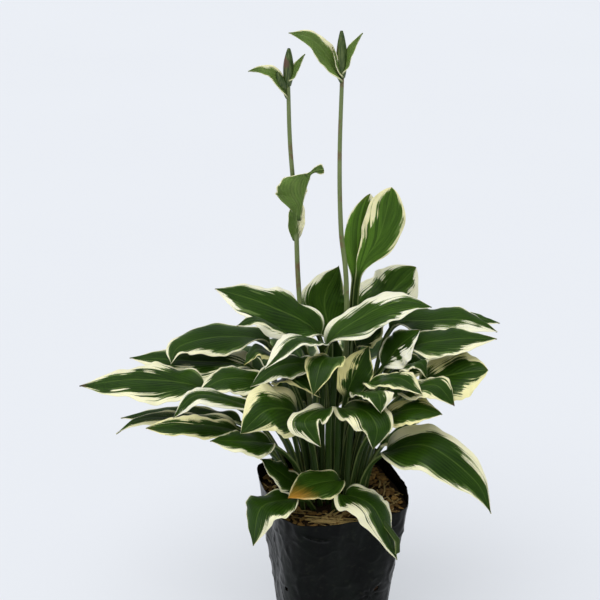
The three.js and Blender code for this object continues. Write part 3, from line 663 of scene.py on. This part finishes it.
def leaf_paint(name, dark, lit, vein, roughness, specular):
    """Green heart, feathered cream margin, the greyer green where the two layers overlap, and dry tips."""
    paint = new_paint(name, roughness, specular)
    shader = mixing.nodes["Principled BSDF"]
    shader.inputs["Subsurface Weight"].default_value = 0.35
    shader.inputs["Subsurface Radius"].default_value = (1.0, 1.0, 0.6)
    shader.inputs["Subsurface Scale"].default_value = 0.0015

    def total(*parts):
        whole = parts[0]
        for part in parts[1:]:
            whole = maths("ADD", whole, part)
        return whole

    def rest_of(share):
        return maths("SUBTRACT", 1.0, share)

    def band_luck(finer, offset):
        """A chance value from -0.5 to 0.5 for each strip between two veins."""
        strip = maths("FLOOR", times(count, finer))
        key = total(times(strip, 1.37), total(seat, offset))
        luck = node("TexWhiteNoise", {"W": key}, noise_dimensions="1D").outputs["Value"]
        return maths("SUBTRACT", luck, 0.5)

    def strip_middle(finer):
        """1 in the middle of each strip, 0 where it meets the next."""
        apart = maths("SUBTRACT", maths("FRACT", times(count, finer)), 0.5)
        return maths("MULTIPLY_ADD", maths("ABSOLUTE", apart), -2.0, 1.0)

    def flames(finer, offset, rare):
        """Pointed tongues that run along the strips, long in a few of them and short in most."""
        return times(mask(band_luck(finer, offset), rare, 0.5), strip_middle(finer))

    # Where a point lies on its leaf, and how the cells grow there: in strips along the veins.
    spot = node("Attribute", attribute_name="leaf_place").outputs
    tint = node("Attribute", attribute_name="leaf_tint").outputs
    across, along, edge = node("SeparateColor", {0: spot["Color"]}).outputs
    yellow, pale, dry = node("SeparateColor", {0: tint["Color"]}).outputs
    u = maths("ABSOLUTE", across)
    half_step, leaf_step = SEAT_STEPS
    seat = total(times(maths("SIGN", across), half_step), times(spot["Alpha"], leaf_step))
    count = times(maths("SUBTRACT", u, times(along, VEIN_SPREAD)), VEINS_A_SIDE)
    streak_place = node("CombineXYZ", {0: times(count, 2.2), 1: times(along, 5.0), 2: seat}).outputs[0]
    streaks = maths("SUBTRACT", grain(streak_place, 1.0, 2.5), 0.5)
    swell = grain(node("CombineXYZ", {0: times(along, 3.4), 1: seat}).outputs[0], 1.0, 1.0)
    swell = mask(swell, 0.32, 0.68)

    # The margin: tongues of cream reach inwards and tongues of green outwards.
    width = times(rest_of(edge), maths("MULTIPLY_ADD", swell, 0.9, 0.55))
    cream_teeth = total(
        times(flames(1, 3, 0.10), 0.55),
        times(flames(2.5, 7, 0.0), 0.5),
        times(flames(5, 2, 0.1), 0.3),
    )
    green_teeth = total(times(flames(1.5, 13, 0.05), 0.6), times(flames(4, 19, 0.0), 0.5))
    jag = total(cream_teeth, times(green_teeth, -1.0), times(band_luck(1, 0), 0.35), times(streaks, 0.6))
    reach = maths("MULTIPLY_ADD", width, 0.85, 0.045)
    beyond = total(u, times(jag, reach), width, -1.0)
    cream = mask(beyond, -0.010, 0.014)
    veil = total(beyond, times(band_luck(2, 11), 0.20), times(band_luck(5, 23), 0.10), times(streaks, 0.15))
    overlap = mask(veil, -0.085, -0.045)

    # The heart: mixed from a dark and a lit green, blotched, greyer at the margin, paler on young leaves.
    ridge = mask(maths("SINE", times(count, math.pi * 2)), -0.9, 0.9)
    blotch = grain(here(), 26, 3)
    # Painted highlight: the vein ridges lean to the lit green; blotches and streaks vary it at random.
    green = mixed(total(times(ridge, 0.22), times(blotch, 0.9), times(streaks, 0.5)), dark, lit)
    green = mixed(times(overlap, 0.55), green, shade(112, 134, 74))
    midrib = rest_of(mask(u, 0.012, 0.045))
    green = mixed(times(midrib, 0.5), green, vein)
    stripes = mask(total(band_luck(0.8, 17), times(streaks, 0.8)), -0.25, 0.35)
    young = times(pale, maths("MULTIPLY_ADD", stripes, 0.8, 0.45))
    green = mixed(young, green, shade(98, 138, 46))

    # The cream, with a green tinge in streaks and flecks of green near the heart.
    # The cream's yellow is partly the margin's own tone and partly painted for shade and for light shining
    # through the leaf.
    warm = mixed(yellow, shade(238, 236, 214), shade(232, 222, 140))
    tinge = mask(streaks, 0.06, 0.25)
    warm = mixed(times(tinge, 0.28), warm, shade(178, 186, 118))
    flecks = mask(total(times(band_luck(6, 31), 0.9), streaks), 0.30, 0.42)
    near = rest_of(mask(beyond, 0.02, 0.16))
    warm = mixed(times(times(flecks, near), 0.55), warm, shade(126, 146, 92))
    colour = mixed(cream, green, warm)

    # The stalk, the amber of an ageing leaf and a dry brown tip.
    wisps = times(streaks, 0.5)
    # The stalk's own green, darkened as painted shade for the shade among the stalks in the clump.
    stalk_green_and_shade = mixed(mask(along, -1.9, -0.2), shade(62, 74, 38), shade(44, 64, 24))
    stalk_edge = mask(total(u, wisps), 0.78, 0.86)
    stalk_green_and_shade = mixed(times(stalk_edge, 0.6), stalk_green_and_shade, shade(126, 138, 84))
    colour = mixed(rest_of(mask(along, -0.02, 0.12)), colour, stalk_green_and_shade)
    ageing = total(along, times(streaks, 0.4), times(across, -0.12), tint["Alpha"])
    colour = mixed(times(mask(ageing, 0.95, 1.5), 0.9), colour, shade(188, 134, 50))
    scorch = mask(times(dry, total(along, times(wisps, 0.3))), 0.93, 0.97)
    colour = mixed(scorch, colour, shade(78, 64, 40))
    gloss = maths("MULTIPLY_ADD", blotch, 0.16, roughness - 0.08)
    skin = total(grain(here(), 900, 2), times(ridge, 0.6))
    finish_paint(colour, gloss, skin, depth=0.00018, strength=0.5)
    return paint


leaf_top = leaf_paint("leaf_upper_side", shade(14, 33, 6), shade(49, 77, 16), shade(84, 108, 46), 0.42, 0.13)
leaf_under = leaf_paint(
    "leaf_underside", shade(34, 54, 22), shade(58, 82, 38), shade(112, 130, 72), 0.6, 0.12)


def foot_of(name, facing):
    """Where a leaf's stalk leaves the mix, from the lowest points of its CAD node."""
    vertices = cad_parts[name].data.vertices
    corners = {tuple(round(part, 6) for part in vertex.co) for vertex in vertices}
    lowest = sorted(corners, key=lambda corner: corner[2])[:FOOT_POINTS]
    x = sum(corner[0] for corner in lowest) / FOOT_POINTS
    y = sum(corner[1] for corner in lowest) / FOOT_POINTS
    return Vector((x + FOOT_OUT * math.cos(facing), y + FOOT_OUT * math.sin(facing), MIX_TOP))


def grow_leaf(name, rib, width, left, right, facing=None, roll=0, fold=14, curl=22, base=0.62, point=1.08,
              wave=0.07, yellow=0.3, pale=0.0, dry=0.0, amber=0.0):
    """A leaf from its midrib: neck, middle and tip. Its stalk swings up and out of the mix to the neck."""
    rib = [Vector(place) * MM for place in rib]
    chord = rib[-1] - rib[0]
    facing = math.atan2(chord.y, chord.x) if facing is None else math.radians(facing)
    leaf = dict(
        width=width * MM, cream=(left, right), facing=facing, roll=math.radians(roll),
        fold=math.radians(fold), curl=math.radians(curl), base=base, point=point, wave=wave,
        yellow=yellow, pale=pale, dry=dry, amber=amber, whim=sum(map(ord, name)) % 17 / 3,
    )
    foot, neck = foot_of(name, facing), rib[0]
    out, up = STALK_SWING
    middle = Vector((between(foot.x, neck.x, out), between(foot.y, neck.y, out), between(foot.z, neck.z, up)))
    points = [foot, middle] + rib
    spans = len(points) - 1
    stops = [step / STALK_ROWS * STALK_SPANS for step in range(STALK_ROWS)]
    stops += [STALK_SPANS + step / BLADE_ROWS * (spans - STALK_SPANS) for step in range(BLADE_ROWS + 1)]
    rows = []
    for stop in stops:
        place, heading = spline(points, stop / spans)
        along = (stop - STALK_SPANS) / (spans - STALK_SPANS)
        rows.append((along, leaf_row(place, heading, along, leaf)))
    sunk = [(at - Vector((0, 0, HOLE_DEPTH)), across, thick) for at, across, thick in rows[0][1]]
    piece = grow_sheet("hosta_" + name, [(rows[0][0], sunk)] + rows, leaf, leaf_top, leaf_under)
    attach(piece, "root")
    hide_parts(name)


# ---- The leaves on the left ----
# Twelve leaves that arch outwards to the left of the crown, the lowest of them nearly level. A leaf is
# given by its midrib and width, in millimetres, and by how much of its left and of its right half, seen
# from the crown, is cream: in percent, at its base, middle and tip.
grow_leaf("left_leaf_1", [(-143, -20, 308), (-210, -26, 322), (-280, -22, 313)], 72,
          (14, 18, 12), (5, 36, 55), roll=14, dry=1)
grow_leaf("left_leaf_2", [(-92, 24, 314), (-161, 34, 320), (-229, 34, 324)], 64,
          (30, 42, 40), (62, 18, 14), roll=16)
grow_leaf("left_leaf_3", [(-72, 34, 338), (-122, 40, 347), (-170, 22, 343), (-180, 0, 330)], 60,
          (12, 16, 26), (6, 10, 30), roll=14, point=1.25)
grow_leaf("left_leaf_4", [(-82, -60, 299), (-143, -92, 332), (-172, -94, 306)], 36,
          (22, 26, 35), (30, 36, 35), roll=10, yellow=.1)
grow_leaf("left_leaf_5", [(-105, 26, 246), (-176, 38, 254), (-242, 38, 248)], 48,
          (30, 34, 12), (16, 24, 16), roll=6, yellow=.4)
grow_leaf("left_leaf_6", [(-108, -16, 259), (-169, -24, 275), (-214, -26, 274), (-241, -26, 257)], 42,
          (46, 50, 30), (40, 34, 18), roll=4, point=1.5, yellow=.4)
grow_leaf("left_leaf_7", [(-106, -54, 272), (-155, -72, 289), (-203, -76, 286)], 44,
          (10, 10, 10), (55, 62, 45), roll=10, point=.85, yellow=.6)
grow_leaf("left_leaf_8", [(-69, -69, 263), (-100, -95, 279), (-132, -105, 284)], 50,
          (22, 20, 12), (16, 16, 20), roll=12)
grow_leaf("left_leaf_9", [(-74, -26, 315), (-115, -40, 329), (-147, -52, 318)], 50,
          (14, 16, 16), (16, 20, 40), roll=16)
grow_leaf("left_leaf_10", [(-59, 2, 328), (-83, 0, 348), (-98, -8, 332)], 42,
          (18, 18, 14), (8, 8, 10), yellow=.8)
grow_leaf("left_leaf_11", [(-38, -54, 206), (-58, -64, 227), (-79, -68, 246)], 46,
          (12, 10, 10), (12, 10, 10), roll=24)
grow_leaf("left_leaf_12", [(-21, -44, 341), (-57, -52, 349), (-90, -64, 329)], 46,
          (10, 14, 16), (14, 16, 18), roll=10, yellow=.2)

# ---- The leaves at the top ----
# Nine younger leaves from the middle of the crown, four of them upright behind the flower stalks and
# paler than the rest, because they have only just unrolled.
grow_leaf("top_leaf_1", [(-16, 12, 359), (-70, 8, 396), (-130, 12, 415)], 79,
          (7, 12, 38), (10, 30, 22), roll=22, point=1.02, yellow=.1)
grow_leaf("top_leaf_2", [(-31, -27, 356), (-77, -56, 403), (-104, -64, 400)], 32,
          (12, 12, 10), (20, 18, 12))
grow_leaf("top_leaf_3", [(-2, 54, 340), (-8, 66, 384), (8, 64, 424)], 58,
          (30, 26, 16), (5, 6, 8), facing=90, yellow=.1, pale=.12)
grow_leaf("top_leaf_4", [(29, 42, 416), (53, 46, 467), (65, 48, 521)], 46,
          (3, 20, 80), (5, 10, 16), facing=80, base=1.15, point=.72, yellow=.5, pale=.45)
grow_leaf("top_leaf_5", [(32, 66, 366), (68, 75, 389), (96, 77, 418)], 66,
          (32, 28, 12), (12, 32, 45), facing=74, base=.5, point=.8, yellow=.1, pale=.15)
grow_leaf("top_leaf_6", [(-4, -8, 354), (36, -3, 389), (77, 4, 403), (110, 10, 394)], 58,
          (66, 62, 30), (14, 14, 10), roll=-16, yellow=.1, pale=.08)
grow_leaf("top_leaf_7", [(-13, -46, 365), (-42, -84, 393), (-73, -108, 368)], 40,
          (10, 12, 20), (34, 50, 100), yellow=.1)
grow_leaf("top_leaf_8", [(0, -50, 352), (-13, -86, 366), (-22, -110, 339)], 42,
          (10, 10, 10), (62, 22, 10), yellow=.8)
grow_leaf("top_leaf_9", [(25, 52, 410), (30, 58, 457), (42, 60, 510)], 36,
          (5, 5, 10), (8, 22, 70), facing=95, base=.9, point=.72, yellow=.2, pale=.6)

# ---- The leaves on the right ----
# Fourteen leaves that arch outwards to the right, with small young ones standing among them. Each has
# its own stalk from the crown.
grow_leaf("right_leaf_1", [(67, 30, 360), (113, 36, 368), (153, 36, 368), (186, 30, 357)], 58,
          (6, 6, 14), (12, 45, 72), roll=-18, yellow=.1)
grow_leaf("right_leaf_2", [(107, 70, 348), (160, 79, 355), (194, 79, 349)], 38,
          (8, 8, 14), (10, 12, 20), roll=-6)
grow_leaf("right_leaf_3", [(84, -5, 347), (131, -12, 364), (181, -12, 365)], 53,
          (6, 6, 26), (12, 16, 34), roll=-16)
grow_leaf("right_leaf_4", [(98, -24, 314), (138, -30, 331), (170, -35, 337)], 72,
          (46, 44, 30), (12, 26, 42), roll=-28, point=.85, yellow=.6)
grow_leaf("right_leaf_5", [(75, -58, 316), (108, -80, 338), (129, -94, 320)], 48,
          (36, 22, 12), (26, 20, 12), roll=-12, yellow=.5, dry=1)
grow_leaf("right_leaf_6", [(39, -46, 321), (69, -76, 345), (94, -99, 335)], 43,
          (12, 38, 50), (14, 16, 20), roll=-8, yellow=.5)
grow_leaf("right_leaf_7", [(27, -54, 311), (46, -104, 339), (49, -122, 324)], 40,
          (34, 40, 34), (10, 10, 12))
grow_leaf("right_leaf_8", [(16, -20, 300), (27, -17, 330), (40, -12, 356)], 42,
          (75, 60, 40), (6, 6, 12), facing=70, yellow=.8)
grow_leaf("right_leaf_9", [(30, 14, 344), (45, 14, 364), (60, 14, 382)], 40,
          (26, 20, 16), (16, 16, 14), roll=-20, yellow=.6)
grow_leaf("right_leaf_10", [(58, -9, 331), (74, -13, 357), (96, -16, 377)], 46,
          (10, 10, 12), (60, 50, 18), facing=20, roll=-20, yellow=0)
grow_leaf("right_leaf_11", [(76, -33, 331), (95, -43, 349), (102, -48, 333)], 30,
          (14, 14, 16), (16, 18, 18), yellow=.3)
grow_leaf("right_leaf_12", [(58, -74, 296), (87, -88, 314), (116, -96, 311)], 50,
          (50, 38, 20), (34, 12, 10), roll=-16, yellow=.7)
grow_leaf("right_leaf_13", [(60, -60, 249), (102, -88, 270), (152, -104, 237), (171, -110, 200)], 66,
          (34, 40, 28), (16, 12, 14), roll=-26, base=.55, point=1.35)
grow_leaf("right_leaf_14", [(56, -26, 241), (73, -26, 260), (96, -26, 271)], 30,
          (34, 34, 20), (34, 34, 20), yellow=.4, pale=.3)

# ---- The leaves in front ----
# Four leaves that arch forwards, and three low ones that hang over the bag's rim. The one between the
# other two is the oldest and turns amber from its tip.
grow_leaf("front_leaf_1", [(-40, -62, 296), (-70, -107, 321), (-99, -122, 300)], 66,
          (22, 26, 12), (60, 44, 10), roll=45, base=.42, yellow=.6)
grow_leaf("front_leaf_2", [(-8, -80, 308), (-31, -122, 314), (-14, -138, 292)], 40,
          (12, 10, 10), (55, 50, 34), facing=245, yellow=.3)
grow_leaf("front_leaf_3", [(9, -58, 297), (32, -100, 317), (45, -120, 306), (41, -126, 284)], 50,
          (16, 16, 14), (24, 20, 16), roll=-10, yellow=.4)
grow_leaf("front_leaf_4", [(-58, -28, 315), (-37, -51, 336), (-14, -67, 318)], 38,
          (18, 18, 16), (18, 18, 18), yellow=.8)
grow_leaf("bag_leaf_1", [(-46, -74, 199), (-78, -102, 203), (-87, -110, 161)], 60,
          (10, 22, 20), (14, 10, 8))
grow_leaf("bag_leaf_2", [(7, -58, 214), (-23, -82, 221), (-49, -100, 214)], 44,
          (8, 7, 14), (10, 8, 20), roll=24, yellow=.6, pale=.1, amber=.42)
grow_leaf("bag_leaf_3", [(15, -73, 203), (44, -100, 202), (70, -112, 145)], 60,
          (18, 24, 28), (26, 36, 26))

# ---- The leaves inside the clump ----
# Five leaves on shorter stalks that close the clump's dark middle. They stand in the shade of the outer
# ones, between which they can be seen.
grow_leaf("inner_leaf_1", [(-31, 38, 268), (-52, 42, 280), (-72, 44, 275)], 40,
          (16, 20, 20), (16, 20, 20), roll=30, yellow=.7)
grow_leaf("inner_leaf_2", [(-4, 52, 254), (0, 58, 296), (4, 62, 340)], 48,
          (10, 12, 16), (10, 12, 16), facing=100)
grow_leaf("inner_leaf_3", [(19, 42, 264), (50, 49, 280), (90, 56, 270)], 46,
          (10, 12, 16), (10, 12, 16), roll=-30)
grow_leaf("inner_leaf_4", [(62, 30, 303), (89, 34, 316), (114, 38, 310)], 44,
          (14, 18, 20), (14, 18, 20), roll=-28, yellow=.5)
grow_leaf("inner_leaf_5", [(-75, 58, 282), (-101, 67, 298), (-133, 72, 292)], 48,
          (10, 12, 16), (10, 12, 16), roll=25)

# ---- The leaves behind ----
# Eight leaves that arch backwards from the crown's far side and close the clump at the back, as full as
# its front.
BACK_MARGINS = (
    ((12, 20, 30), (14, 12, 20)),
    ((20, 14, 20), (12, 26, 34)),
)
BACK_LEAVES = (
    ([(-73, 82, 284), (-113, 130, 295), (-153, 174, 269)], 60, 0),
    ([(-30, 94, 288), (-52, 154, 300), (-58, 208, 270)], 62, 1),
    ([(34, 88, 290), (40, 152, 304), (50, 212, 280)], 62, 0),
    ([(69, 84, 286), (109, 130, 294), (145, 170, 266)], 60, 1),
    ([(-104, 62, 268), (-160, 94, 274), (-208, 122, 246)], 58, 1),
    ([(86, 62, 262), (122, 92, 270), (152, 122, 252)], 50, 0),
    ([(-24, 82, 226), (-42, 128, 228), (-60, 168, 192)], 54, 0),
    ([(28, 82, 228), (48, 128, 228), (64, 172, 192)], 54, 1),
)
for number, (rib, width, margin) in enumerate(BACK_LEAVES, 1):
    grow_leaf(f"back_leaf_{number}", rib, width, *BACK_MARGINS[margin])

# ---- The flower stalks ----
# Two round, solid, grey-green stems from the crown. Each ends in unopened buds among leafy bracts, and
# the left one has a twisted, leaf-like bract half-way up. Millimetres and percent, as for the leaves.
STEM_RADII = (0.0033, 0.0022)
ROD_FACES_AROUND = 20
STEM_ROWS = 150
STEM_CLOSES = 0.004  # the share of its length in which a stem closes at each end
BUD_ROWS = 24
BUD_CLOSES = 0.02
PLAIN_BRACT = dict(
    roll=0, fold=25, curl=22, base=.62, point=1.08, wave=.07, yellow=.4, pale=.2, dry=0, amber=0,
)
STALKS = {
    "flower_stalk_1": {
        "line": [(-15, 25, 170), (-36, 49, 380), (-41, 51, 490), (-47, 53, 570), (-49, 54, 640)],
        "bracts": [
            dict(rib=[(-41, 52, 458), (-40, 45, 482), (-38, 42, 508)], width=19, facing=270,
                 base=.6, point=.5, cream=((40, 60, 30), (2, 2, 2))),
            dict(rib=[(-37, 45, 484), (-34, 42, 504), (-31, 40, 520), (-24, 38, 541)], width=66, facing=270,
                 fold=45, curl=0, roll=-42, base=1.6, point=1.2, cream=((90, 90, 30), (2, 3, 4))),
            dict(rib=[(-29, 39, 536), (-20, 37, 543), (-10, 36, 545)], width=13, facing=0,
                 roll=80, base=2, point=.3, cream=((10, 10, 20), (10, 10, 20))),
            dict(rib=[(-50, 54, 621), (-62, 50, 646), (-76, 47, 653), (-92, 45, 652)], width=15, facing=180,
                 roll=50, cream=((10, 10, 10), (30, 50, 40))),
            dict(rib=[(-47, 53, 640), (-40, 50, 655), (-31, 48, 670)], width=11, facing=0,
                 roll=-45, cream=((20, 20, 20), (5, 5, 5))),
        ],
        "buds": [((-49, 54, 632), (-48, 53, 675), 5.8), ((-52, 52, 630), (-61, 48, 650), 4.2)],
    },
    "flower_stalk_2": {
        "line": [(14, 22, 170), (16, 27, 396), (9, 29, 479), (7, 29, 560), (9, 30, 652)],
        "bracts": [
            dict(rib=[(8, 30, 644), (-7, 26, 672), (-25, 22, 692), (-48, 20, 699)], width=27, facing=190,
                 roll=50, cream=((3, 3, 3), (10, 35, 40))),
            dict(rib=[(8, 29, 650), (3, 24, 668), (-1, 22, 683)], width=9, facing=190,
                 roll=40, cream=((10, 10, 10), (60, 60, 60))),
            dict(rib=[(10, 29, 653), (17, 26, 677), (30, 24, 698)], width=12, facing=0,
                 roll=-45, cream=((10, 10, 10), (5, 5, 5))),
        ],
        "buds": [((9, 30, 646), (8, 29, 699), 5.8)],
    },
}
stem_paint = new_paint("flower_stem", roughness=0.5, specular=0.4)
place = here()
length = grain(stretched(place, 6, 6, 0.4), 90, detail=3)
brown = mask(grain(place, 60, detail=3), 0.54, 0.68)
stem_colour = mixed(length, shade(86, 102, 54), shade(126, 138, 88))
stem_colour = mixed(brown, stem_colour, shade(108, 90, 60))
finish_paint(stem_colour, None, length, depth=0.0003, strength=0.5)
bud_paint = new_paint("flower_bud", roughness=0.5, specular=0.4)
place = here()
streaks = grain(stretched(place, 5, 5, 0.5), 120, detail=3)
purple = mask(grain(place, 50, detail=2), 0.56, 0.74)
bud_colour = mixed(mask(streaks, 0.35, 0.7), shade(44, 66, 26), shade(92, 106, 58))
bud_colour = mixed(purple, bud_colour, shade(92, 66, 54))
finish_paint(bud_colour, None, streaks, depth=0.0003, strength=0.5)
bract_top = leaf_paint(
    "bract_upper_side", shade(48, 70, 26), shade(112, 132, 70), shade(124, 142, 84), 0.5, 0.2)
bract_under = leaf_paint(
    "bract_underside", shade(50, 70, 30), shade(92, 114, 62), shade(120, 140, 84), 0.6, 0.15)


def round_rod(name, points, radii, rows, paint):
    """A round body along a curve; radii gives its radius at a share of its length."""
    piece = flat_grid(name, ROD_FACES_AROUND, rows)
    for vertex in piece.data.vertices:
        share = vertex.co.y + 0.5
        angle = (vertex.co.x + 0.5) * 2 * math.pi
        middle, heading = spline(points, share)
        side = Vector((0, 1, 0)).cross(heading).normalized()
        front = heading.cross(side).normalized()
        radius = radii(share, angle)
        vertex.co = middle + side * radius * math.cos(angle) + front * radius * math.sin(angle)
    weld(piece, SAME_PLACE / 2)
    piece.data.materials.append(paint)
    smooth(piece, 50)
    return piece


def stem_radius(share, angle):
    closed = min(share / STEM_CLOSES, (1 - share) / STEM_CLOSES, 1)
    return between(*STEM_RADII, share) * (1 + 0.03 * math.cos(5 * angle)) * math.sqrt(max(closed, 0))


def bud_radius(full):
    """A bud's radius along its length, from its widest: narrowed towards its tip, with six faint ribs."""
    def radius(share, angle):
        swell = math.sin(math.pi * min(share * 0.82 + 0.12, 1)) ** 0.8
        closed = min(max(share / BUD_CLOSES, 0), 1)
        return full * swell * (1 + 0.06 * math.cos(6 * angle + 4 * share)) * math.sqrt(closed)
    return radius


def grow_bract(name, bract, whim):
    leaf = PLAIN_BRACT | bract | dict(width=bract["width"] * MM, whim=whim)
    leaf.update({turn: math.radians(leaf[turn]) for turn in ("facing", "roll", "fold", "curl")})
    points = [Vector(place) * MM for place in bract["rib"]]
    rows = []
    for step in range(BLADE_ROWS + 1):
        share = step / BLADE_ROWS
        place, heading = spline(points, share)
        rows.append((share, leaf_row(place, heading, share, leaf)))
    return grow_sheet(name, rows, leaf, bract_top, bract_under)


for name, stalk in STALKS.items():
    line = [Vector(place) * MM for place in stalk["line"]]
    low = line[0] - Vector((0, 0, HOLE_DEPTH))
    parts = [round_rod(name + "_stem", [low] + line, stem_radius, STEM_ROWS, stem_paint)]
    for number, bract in enumerate(stalk["bracts"]):
        parts.append(grow_bract(f"{name}_bract_{number + 1}", bract, number + 1.3))
    for number, (start, end, radius) in enumerate(stalk["buds"]):
        start, end = Vector(start) * MM, Vector(end) * MM
        axis, widest = [start, start.lerp(end, 0.5), end], bud_radius(radius * MM)
        parts.append(round_rod(f"{name}_bud_{number + 1}", axis, widest, BUD_ROWS, bud_paint))
    pick(*parts)
    bpy.ops.object.join()
    whole = bpy.context.object
    whole.name = "hosta_" + name
    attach(whole, "root")
    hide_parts(name)

# ---- The studio ----
# A plain pale floor that glows softly, which keeps it pale and its shadows faint, soft daylight from all
# round and a wide soft lamp high on the left in front. The camera looks down at the plant by 20 degrees.
FLOOR_HALF = 40
FLOOR_GLOW = 0.53
FLOOR_GLOW_COLOUR = (0.92, 0.95, 1.0, 1)
DAYLIGHT = 0.54
DAYLIGHT_COLOUR = (0.93, 0.96, 1.0, 1)
LAMP_TURN = (math.radians(22), math.radians(-14), 0)
LAMP_STRENGTH = 2.15
LAMP_SPREAD = math.radians(60)
CAMERA_PLACE = (-0.036, -1.879, 1.090)
CAMERA_TURN = (math.radians(70), 0, 0)
CAMERA_SENSOR = 36
CAMERA_LENS = 109.1
bpy.ops.object.select_all(action="DESELECT")
bpy.ops.mesh.primitive_plane_add(size=2 * FLOOR_HALF, location=(0, 0, 0))
floor = bpy.context.object
floor.name = "floor"
floor_paint = new_paint("pale_floor", roughness=0.9, specular=0.1)
soft = grain(here(), 1.5, detail=2)
finish_paint(mixed(soft, shade(146, 148, 152), shade(150, 152, 156)))
glow = mixing.nodes["Principled BSDF"]
glow.inputs["Emission Color"].default_value = FLOOR_GLOW_COLOUR
glow.inputs["Emission Strength"].default_value = FLOOR_GLOW
floor.data.materials.append(floor_paint)

world = bpy.data.worlds.new("soft_daylight")
world.use_nodes = True
daylight = world.node_tree.nodes["Background"]
daylight.inputs["Color"].default_value = DAYLIGHT_COLOUR
daylight.inputs["Strength"].default_value = DAYLIGHT
bpy.context.scene.world = world
bpy.ops.object.light_add(type="SUN", rotation=LAMP_TURN)
lamp = bpy.context.object
lamp.name = "soft_lamp"
lamp.data.energy = LAMP_STRENGTH
lamp.data.angle = LAMP_SPREAD
bpy.context.scene.view_settings.view_transform = "Standard"

bpy.ops.object.camera_add(location=CAMERA_PLACE, rotation=CAMERA_TURN)
camera = bpy.context.object
camera.name = "camera"
camera.data.sensor_fit = "HORIZONTAL"
camera.data.sensor_width = CAMERA_SENSOR
camera.data.lens = CAMERA_LENS
bpy.context.scene.camera = camera
